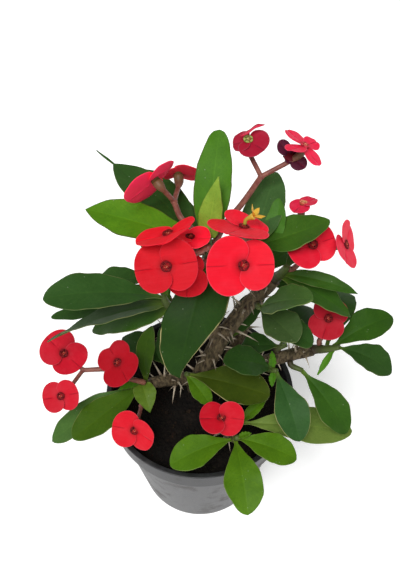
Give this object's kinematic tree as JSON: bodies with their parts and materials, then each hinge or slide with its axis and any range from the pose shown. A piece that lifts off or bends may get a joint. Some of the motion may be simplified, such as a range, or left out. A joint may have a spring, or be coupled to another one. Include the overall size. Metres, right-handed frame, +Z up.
{
  "type": "potted crown of thorns plant",
  "caption": "Spiny-stemmed crown of thorns houseplant with oval green leaves and red two-bract blooms, growing in a round tapered black nursery pot of soil.",
  "frame": {"origin": "centre of the pot's flat base", "axes": "+Z up out of the pot, +X to the right and +Y away from someone facing the plant's front"},
  "size_m": [0.2614, 0.2462, 0.3555],
  "materials": {
    "pot": "satin black moulded plastic",
    "soil": null,
    "stem": "grey-brown corky bark with pale spines",
    "leaf": null,
    "stalk": "smooth reddish brown living stalk",
    "bract": null,
    "gland": null
  },
  "bodies": {
    "root": {"pot": "pot", "soil": "soil", "stem_center": "stem", "stem_right": "stem", "stem_front": "stem", "stem_back_left": "stem", "stem_back_right": "stem", "stem_back": "stem", "shoot_center": "leaf", "shoot_upper_right": "leaf", "shoot_right": "leaf", "shoot_far_right": "leaf", "sprig_upper_right": "leaf", "sprig_middle_right": "leaf", "sprig_right": "leaf", "sprig_under_right": "leaf", "sprig_lower_right": "leaf", "sprig_lower_center": "leaf", "shoot_front": "leaf", "sprig_front": "leaf", "shoot_left": "leaf", "sprig_left": "leaf", "shoot_back_left": "leaf", "shoot_back_right": "leaf", "shoot_back": "leaf", "stalk_center": "stalk", "stalk_center_low": "stalk", "stalk_center_top_left": "stalk", "stalk_center_top_right": "stalk", "stalk_upper_left": "stalk", "stalk_upper_right": "stalk", "stalk_right": "stalk", "stalk_far_right": "stalk", "stalk_left": "stalk", "stalk_front_left": "stalk", "stalk_front": "stalk", "stalk_back": "stalk", "bloom_center_left": "bract", "bloom_center_right": "bract", "bloom_center_low": "bract", "bloom_center_top_left": "bract", "bloom_center_back": "bract", "bloom_center_top_right": "bract", "bloom_upper_left": "bract", "bloom_upper_left_back": "bract", "bloom_upper_right": "bract", "bloom_upper_far_right": "bract", "bloom_right_small": "bract", "bloom_right_behind": "bract", "bloom_right_edge": "bract", "bloom_left": "bract", "bloom_left_edge": "bract", "bloom_left_low": "bract", "bloom_front_left": "bract", "bloom_front": "bract", "bloom_right": "bract", "bloom_back": "bract", "gland_star": "gland"}
  },
  "joints": []
}
